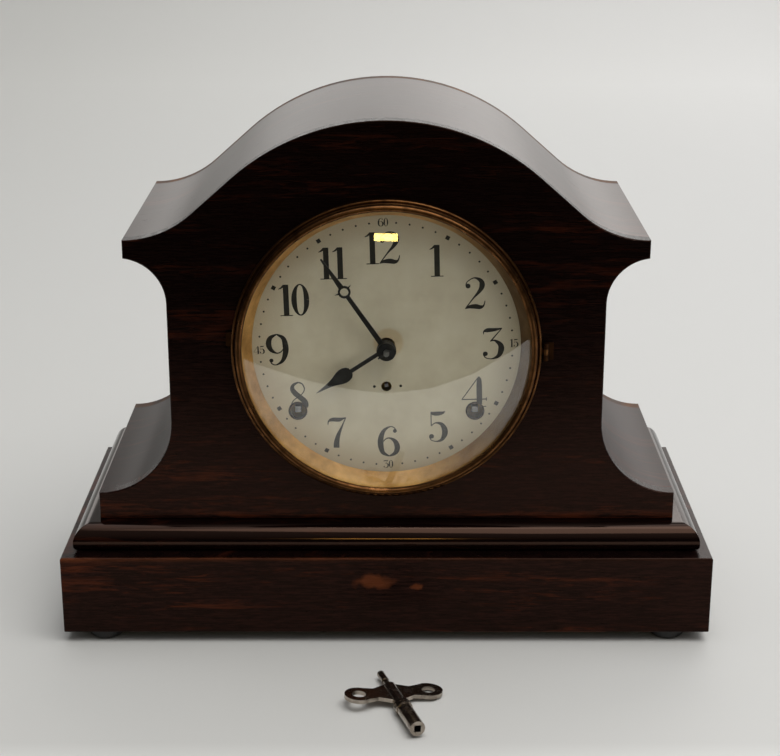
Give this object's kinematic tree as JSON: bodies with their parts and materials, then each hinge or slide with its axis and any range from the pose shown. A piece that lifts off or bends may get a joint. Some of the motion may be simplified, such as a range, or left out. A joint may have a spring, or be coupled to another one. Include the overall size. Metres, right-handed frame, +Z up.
{
  "type": "arched mantel clock",
  "caption": "Wooden mantel clock with an arched crest, concave sides, hinged brass bezel, striking movement and a winding key.",
  "frame": {"origin": "on the floor, under the middle of the plinth", "axes": "+X to the right of the dial, +Y to the back, +Z up"},
  "size_m": [0.368, 0.2949, 0.2958],
  "materials": {
    "dark_veneer": "polished dark rosewood veneer",
    "plain_wood": "stained softwood",
    "dark_metal": "dark lacquered",
    "steel": "plain steel",
    "aged_brass": "aged, half dull",
    "movement_brass": "brushed",
    "clear_glass": "domed clear glass",
    "ivory_dial": "aged ivory paper on tin",
    "black_hands": "black lacquer",
    "cast_stand": "rough cast",
    "nickel": "worn nickel plate"
  },
  "bodies": {
    "case": {"plinth_front_rail": "dark_veneer", "plinth_back_rail": "dark_veneer", "plinth_left_rail": "dark_veneer", "plinth_right_rail": "dark_veneer", "bottom_board": "plain_wood", "ovolo_board": "dark_veneer", "case_front": "dark_veneer", "case_back": "plain_wood", "left_cheek": "dark_veneer", "right_cheek": "dark_veneer", "arched_top": "dark_veneer", "feet": "dark_metal", "wood_screws": "steel", "back_door_hinge": "aged_brass", "bezel_hinge": "aged_brass", "dial_plate": "ivory_dial", "dial_eyelets": "aged_brass", "front_plate": "movement_brass", "back_plate": "movement_brass", "plate_pillars": "steel", "pillar_nuts": "movement_brass", "movement_brackets": "steel", "time_mainspring": "steel", "strike_mainspring": "steel", "gong_coil": "steel", "gong_stand": "cast_stand"},
    "bezel": {"bezel_ring": "aged_brass", "bezel_glass": "clear_glass", "sight_ring": "aged_brass", "bezel_tab": "aged_brass"},
    "back_door": {"back_door": "aged_brass", "back_door_knob": "aged_brass"},
    "center_arbor": {"center_wheel": "movement_brass", "cannon_pinion": "movement_brass", "minute_hand": "black_hands", "hand_pin": "aged_brass"},
    "hour_pipe": {"hour_wheel": "movement_brass", "hour_hand": "black_hands"},
    "minute_wheel": {"minute_wheel": "movement_brass"},
    "time_second": {"time_second_wheel": "movement_brass"},
    "time_great": {"time_great_wheel": "movement_brass", "time_click": "steel"},
    "fourth_arbor": {"fourth_wheel": "movement_brass"},
    "escape_arbor": {"escape_wheel": "movement_brass"},
    "time_winding": {"time_winding_arbor": "steel"},
    "pin_wheel_arbor": {"pin_wheel": "movement_brass"},
    "strike_second": {"strike_second_wheel": "movement_brass"},
    "strike_great": {"strike_great_wheel": "movement_brass", "strike_click": "steel"},
    "warning_arbor": {"warning_wheel": "movement_brass"},
    "fly_arbor": {"fly": "movement_brass"},
    "strike_winding": {"strike_winding_arbor": "steel"},
    "adjuster": {"rate_adjuster": "steel"},
    "slide": {"suspension_slide": "steel", "suspension_spring": "steel"},
    "pendulum": {"pendulum_rod": "steel", "pendulum_bob": "movement_brass"},
    "verge": {"verge": "steel"},
    "hammer": {"hammer": "steel"},
    "key": {"winding_key": "nickel"}
  },
  "joints": [
    {"name": "bezel_swing", "type": "hinge", "parent": "case", "child": "bezel", "pos_m": [0.0881, -0.0669, 0.1675], "axis": [0, 0, 1], "range_deg": [0, 110]},
    {"name": "back_door_swing", "type": "hinge", "parent": "case", "child": "back_door", "pos_m": [0.0591, 0.0907, 0.1535], "axis": [0, 0, -1], "range_deg": [0, 115]},
    {"name": "center_turn", "type": "hinge", "parent": "case", "child": "center_arbor", "pos_m": [0, -0.02, 0.1675], "axis": [0, 1, 0], "continuous": true},
    {"name": "hour_turn", "type": "hinge", "parent": "case", "child": "hour_pipe", "pos_m": [0, -0.02, 0.1675], "axis": [0, 1, 0], "continuous": true},
    {"name": "minute_wheel_turn", "type": "hinge", "parent": "case", "child": "minute_wheel", "pos_m": [-0.01018, -0.02, 0.17768], "axis": [0, 1, 0], "continuous": true},
    {"name": "time_second_turn", "type": "hinge", "parent": "case", "child": "time_second", "pos_m": [0.02852, -0.02, 0.15819], "axis": [0, 1, 0], "continuous": true},
    {"name": "time_great_turn", "type": "hinge", "parent": "case", "child": "time_great", "pos_m": [0.05, -0.02, 0.1293], "axis": [0, 1, 0], "continuous": true},
    {"name": "fourth_turn", "type": "hinge", "parent": "case", "child": "fourth_arbor", "pos_m": [0.01241, -0.02, 0.18657], "axis": [0, 1, 0], "continuous": true},
    {"name": "escape_turn", "type": "hinge", "parent": "case", "child": "escape_arbor", "pos_m": [0, -0.02, 0.1981], "axis": [0, 1, 0], "continuous": true},
    {"name": "time_winding_turn", "type": "hinge", "parent": "case", "child": "time_winding", "pos_m": [0.05, -0.02, 0.1293], "axis": [0, 1, 0], "range_deg": [0, 2520], "deforming": ["time_mainspring"]},
    {"name": "pin_wheel_turn", "type": "hinge", "parent": "case", "child": "pin_wheel_arbor", "pos_m": [-0.0382, -0.02, 0.18871], "axis": [0, 1, 0], "continuous": true},
    {"name": "strike_second_turn", "type": "hinge", "parent": "case", "child": "strike_second", "pos_m": [-0.05625, -0.02, 0.16475], "axis": [0, 1, 0], "continuous": true},
    {"name": "strike_great_turn", "type": "hinge", "parent": "case", "child": "strike_great", "pos_m": [-0.05, -0.02, 0.1293], "axis": [0, 1, 0], "continuous": true},
    {"name": "warning_turn", "type": "hinge", "parent": "case", "child": "warning_arbor", "pos_m": [-0.0282, -0.02, 0.20603], "axis": [0, 1, 0], "continuous": true},
    {"name": "fly_turn", "type": "hinge", "parent": "case", "child": "fly_arbor", "pos_m": [-0.04186, -0.02, 0.2124], "axis": [0, 1, 0], "continuous": true},
    {"name": "strike_winding_turn", "type": "hinge", "parent": "case", "child": "strike_winding", "pos_m": [-0.05, -0.02, 0.1293], "axis": [0, 1, 0], "range_deg": [0, 2520], "deforming": ["strike_mainspring"]},
    {"name": "adjuster_turn", "type": "hinge", "parent": "case", "child": "adjuster", "pos_m": [0, -0.02, 0.1437], "axis": [0, 1, 0], "range_deg": [-19.2, 19.2]},
    {"name": "slide_lift", "type": "slide", "parent": "case", "child": "slide", "axis": [0, 0, 1], "range_m": [-0.002, 0.002]},
    {"name": "pendulum_swing", "type": "hinge", "parent": "slide", "child": "pendulum", "pos_m": [0, 0.008, 0.2136], "axis": [0, 1, 0], "range_deg": [-4, 4], "deforming": ["suspension_spring"]},
    {"name": "verge_rock", "type": "hinge", "parent": "case", "child": "verge", "pos_m": [0, -0.02, 0.2136], "axis": [0, 1, 0], "range_deg": [-4, 4]},
    {"name": "hammer_lift", "type": "hinge", "parent": "case", "child": "hammer", "pos_m": [-0.06267, 0.041, 0.20012], "axis": [0, -1, 0], "range_deg": [0, 22]},
    {"name": "key_lift", "type": "slide", "parent": "case", "child": "key", "axis": [0, 0, 1], "range_m": [0, 0.03]}
  ],
  "couplings": [
    {"joint": "hour_turn", "follows": "center_turn", "ratio": 0.083333},
    {"joint": "minute_wheel_turn", "follows": "center_turn", "ratio": -0.33333},
    {"joint": "time_second_turn", "follows": "center_turn", "ratio": -0.25},
    {"joint": "time_great_turn", "follows": "center_turn", "ratio": 0.0625},
    {"joint": "fourth_turn", "follows": "center_turn", "ratio": -12},
    {"joint": "escape_turn", "follows": "center_turn", "ratio": 120},
    {"joint": "strike_second_turn", "follows": "pin_wheel_turn", "ratio": -0.25},
    {"joint": "strike_great_turn", "follows": "pin_wheel_turn", "ratio": 0.0625},
    {"joint": "warning_turn", "follows": "pin_wheel_turn", "ratio": -9},
    {"joint": "fly_turn", "follows": "pin_wheel_turn", "ratio": 77.143},
    {"joint": "adjuster_turn", "follows": "slide_lift", "rad_per_m": -166.67},
    {"joint": "verge_rock", "follows": "pendulum_swing", "ratio": 1}
  ]
}
